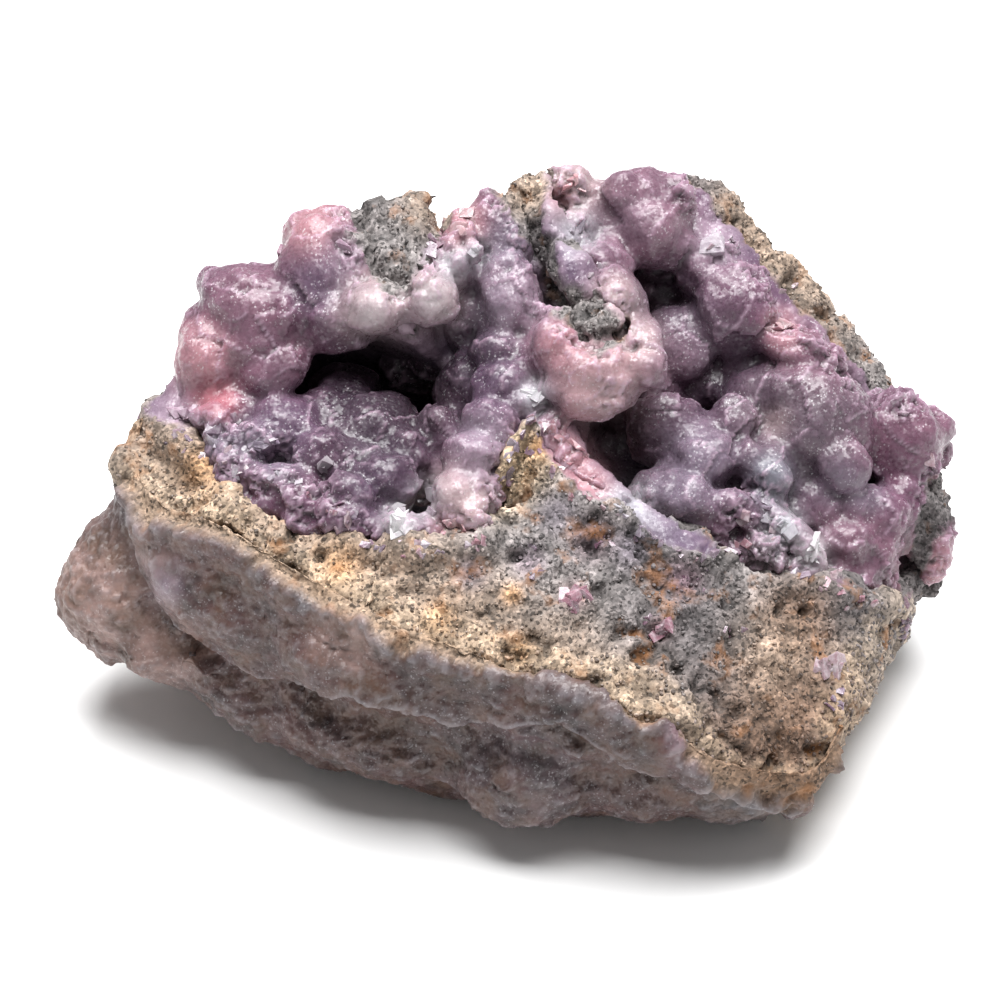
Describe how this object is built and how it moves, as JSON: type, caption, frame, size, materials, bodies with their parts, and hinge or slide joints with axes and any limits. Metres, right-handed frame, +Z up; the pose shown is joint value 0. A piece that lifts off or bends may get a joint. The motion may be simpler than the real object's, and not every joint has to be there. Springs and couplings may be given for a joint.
{
  "type": "smithsonite specimen",
  "caption": "Purple-pink botryoidal smithsonite lining the hollows of a broken block of granular rock, with a mauve outer crust and a flat foot to rest on.",
  "frame": {"origin": "under the middle of the specimen's bounding box, on the surface it rests on", "axes": "+X along the specimen's length, to the right as it is displayed; +Y away from the display side; +Z up"},
  "size_m": [0.092, 0.0568, 0.0508],
  "materials": {
    "host_rock": "rough granular rock, tan and grey with dark grains and rusty stains",
    "vug_crust": "waxy translucent purple-pink smithsonite with a satin lustre",
    "outer_crust": "dull mauve-brown smithsonite with a soft sheen"
  },
  "bodies": {
    "root": {"host_rock": "host_rock", "vug_crust": "vug_crust", "outer_crust": "outer_crust"}
  },
  "joints": []
}
